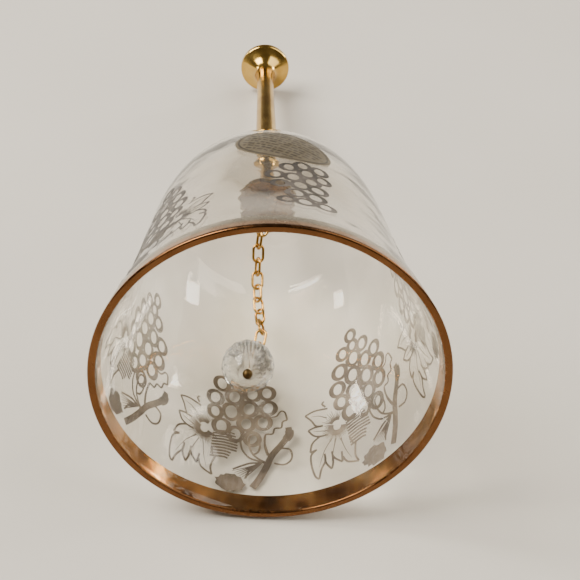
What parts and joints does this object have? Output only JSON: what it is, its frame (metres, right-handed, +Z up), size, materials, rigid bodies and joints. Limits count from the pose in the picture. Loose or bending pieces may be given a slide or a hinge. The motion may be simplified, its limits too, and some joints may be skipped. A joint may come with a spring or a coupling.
{
  "type": "glass bell",
  "caption": "Clear glass hand bell lying on its side, with a slim gilt rod handle and a faceted glass bead clapper on a fine cable chain.",
  "frame": {"origin": "on the surface the bell lies on, under the middle of its box", "axes": "+Z up from that surface, +Y along the bell from its mouth to its handle, +X across"},
  "size_m": [0.0758, 0.1746, 0.0753],
  "materials": {
    "bell_glass": "clear polished blown glass",
    "rim_gilding": "fired-on bright gold band",
    "grape_print": "thin fired-on taupe metallic print",
    "handle_gold": "polished gold plate",
    "chain_gold": "bright gold plate",
    "fitting_brass": "gold plated, lightly tarnished",
    "washer_plastic": "clear soft plastic",
    "bead_crystal": "cut and polished facets",
    "label_foil": "metallic paper sticker"
  },
  "bodies": {
    "bell": {"glass_bowl": "bell_glass", "oval_label": "label_foil", "handle_base": "handle_gold", "handle_rod": "handle_gold", "screw_eye": "fitting_brass", "hex_nut": "fitting_brass", "inner_washer": "fitting_brass", "inner_seal": "washer_plastic", "outer_seal": "washer_plastic"},
    "link_01": {"chain_link_01": "chain_gold"},
    "link_02": {"chain_link_02": "chain_gold"},
    "link_03": {"chain_link_03": "chain_gold"},
    "link_04": {"chain_link_04": "chain_gold"},
    "link_05": {"chain_link_05": "chain_gold"},
    "link_06": {"chain_link_06": "chain_gold"},
    "link_07": {"chain_link_07": "chain_gold"},
    "link_08": {"chain_link_08": "chain_gold"},
    "link_09": {"chain_link_09": "chain_gold"},
    "link_10": {"chain_link_10": "chain_gold"},
    "link_11": {"chain_link_11": "chain_gold"},
    "bead_pin": {"bead_pin": "chain_gold"},
    "bead": {"glass_bead": "bead_crystal"}
  },
  "joints": [
    {"name": "link_01_hinge", "type": "hinge", "parent": "bell", "child": "link_01", "pos_m": [0, -0.01364, 0.02459], "axis": [0, -0.7504, 0.6609], "range_deg": [-4, 15]},
    {"name": "link_02_hinge", "type": "hinge", "parent": "link_01", "child": "link_02", "pos_m": [-0.00199, -0.01541, 0.02258], "axis": [0.8007, -0.3955, -0.45], "range_deg": [-30, 0]},
    {"name": "link_03_hinge", "type": "hinge", "parent": "link_02", "child": "link_03", "pos_m": [-0.00203, -0.01751, 0.01976], "axis": [0.3407, -0.7667, 0.5442], "range_deg": [-22, 1]},
    {"name": "link_04_hinge", "type": "hinge", "parent": "link_03", "child": "link_04", "pos_m": [-0.00189, -0.01979, 0.01718], "axis": [-0.9997, -0.0167, -0.0192], "range_deg": [0, 34]},
    {"name": "link_05_hinge", "type": "hinge", "parent": "link_04", "child": "link_05", "pos_m": [-0.00189, -0.02241, 0.01492], "axis": [0.342, -0.6261, 0.7007], "range_deg": [-38, 1]},
    {"name": "link_06_hinge", "type": "hinge", "parent": "link_05", "child": "link_06", "pos_m": [-0.00178, -0.02521, 0.01291], "axis": [0.9996, 0.0225, 0.0166], "range_deg": [-22, 0]},
    {"name": "link_07_hinge", "type": "hinge", "parent": "link_06", "child": "link_07", "pos_m": [-0.00149, -0.02829, 0.01136], "axis": [0.6409, -0.3166, 0.6992], "range_deg": [-45, 0]},
    {"name": "link_08_hinge", "type": "hinge", "parent": "link_07", "child": "link_08", "pos_m": [-0.00104, -0.03156, 0.01036], "axis": [0.8916, 0.2455, -0.3804], "range_deg": [-45, 0]},
    {"name": "link_09_hinge", "type": "hinge", "parent": "link_08", "child": "link_09", "pos_m": [-0.00062, -0.03498, 0.01005], "axis": [-0.7019, -0.0006, -0.7123], "range_deg": [-1, 45]},
    {"name": "link_10_hinge", "type": "hinge", "parent": "link_09", "child": "link_10", "pos_m": [-0.00037, -0.03841, 0.01014], "axis": [-0.4985, -0.0306, 0.8664], "range_deg": [-2, 50]},
    {"name": "link_11_hinge", "type": "hinge", "parent": "link_10", "child": "link_11", "pos_m": [-0.00103, -0.04146, 0.00855], "axis": [-0.9583, 0.238, -0.1584], "range_deg": [-1, 50]},
    {"name": "bead_pin_hinge", "type": "hinge", "parent": "link_11", "child": "bead_pin", "pos_m": [-0.00275, -0.04375, 0.00654], "axis": [0.5107, 0.3095, -0.8021], "range_deg": [-6, 5]},
    {"name": "bead_spin", "type": "hinge", "parent": "bead_pin", "child": "bead", "pos_m": [-0.00371, -0.05113, 0.01165], "axis": [0.0305, 0.8451, -0.5338], "continuous": true}
  ]
}
